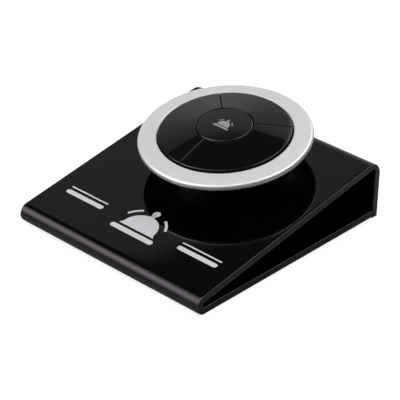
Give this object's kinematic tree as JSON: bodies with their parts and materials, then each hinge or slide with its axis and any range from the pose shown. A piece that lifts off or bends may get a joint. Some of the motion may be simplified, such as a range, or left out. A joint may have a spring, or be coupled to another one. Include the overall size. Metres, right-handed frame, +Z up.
{
  "type": "waiter call button",
  "caption": "Wireless waiter call button: glossy sector keys round a centre button in a silver ring, taped onto a folded black acrylic stand.",
  "frame": {"origin": "bottom centre of the bounding box, on the table that it stands on", "axes": "+Z up, -Y towards the low front fold, +Y towards the rear wall, +X to the right seen from the front"},
  "size_m": [0.095, 0.1092, 0.041],
  "materials": {
    "black_acrylic": "deep gloss black acrylic sheet, bent while hot, with scraped edges",
    "foam_tape": "white double-sided foam tape",
    "housing_black": "moulded black ABS with a fine satin texture",
    "ring_silver": "moulded ABS sprayed with fine silver metallic paint",
    "key_gloss": "polished black ABS",
    "button_satin": "satin black ABS",
    "deck_black": "moulded black ABS, plain",
    "cell_jacket": "plain printed steel can",
    "contact_nickel": "nickel-plated spring strip",
    "board_green": "glass-fibre board with green solder mask",
    "switch_black": "moulded switch body",
    "switch_steel": "pressed steel cover",
    "plunger_black": "moulded plunger",
    "chip_black": "moulded epoxy package",
    "resonator_can": "plated can",
    "capacitor_can": "aluminium can",
    "passive_ceramic": "fired ceramic with tinned ends",
    "aerial_wire": "bare copper wire",
    "screw_zinc": "zinc-plated steel"
  },
  "bodies": {
    "base": {"stand_sheet": "black_acrylic", "adhesive_pads": "foam_tape", "lower_housing": "housing_black", "battery_door": "housing_black", "battery_cell": "cell_jacket", "spring_contact": "contact_nickel", "plate_contact": "contact_nickel", "circuit_board": "board_green", "switch_bodies": "switch_black", "switch_covers": "switch_steel", "encoder_chip": "chip_black", "saw_resonator": "resonator_can", "rf_transistor": "chip_black", "storage_capacitor": "capacitor_can", "chip_passives": "passive_ceramic", "antenna_loop": "aerial_wire", "board_screws": "screw_zinc", "housing_screws": "screw_zinc", "key_deck": "deck_black", "ring_bezel": "ring_silver"},
    "top_key": {"top_key": "key_gloss", "plunger_top": "plunger_black"},
    "left_key": {"left_key": "key_gloss", "plunger_left": "plunger_black"},
    "right_key": {"right_key": "key_gloss", "plunger_right": "plunger_black"},
    "centre_button": {"centre_button": "button_satin", "plunger_centre": "plunger_black"}
  },
  "joints": [
    {"name": "top_key_press", "type": "slide", "parent": "base", "child": "top_key", "axis": [0, 0.1814, -0.9834], "range_m": [0, 0.0005], "stiffness_N_per_m": 4000},
    {"name": "left_key_press", "type": "slide", "parent": "base", "child": "left_key", "axis": [0, 0.1814, -0.9834], "range_m": [0, 0.0005], "stiffness_N_per_m": 4000},
    {"name": "right_key_press", "type": "slide", "parent": "base", "child": "right_key", "axis": [0, 0.1814, -0.9834], "range_m": [0, 0.0005], "stiffness_N_per_m": 4000},
    {"name": "centre_button_press", "type": "slide", "parent": "base", "child": "centre_button", "axis": [0, 0.1814, -0.9834], "range_m": [0, 0.0005], "stiffness_N_per_m": 4000}
  ]
}
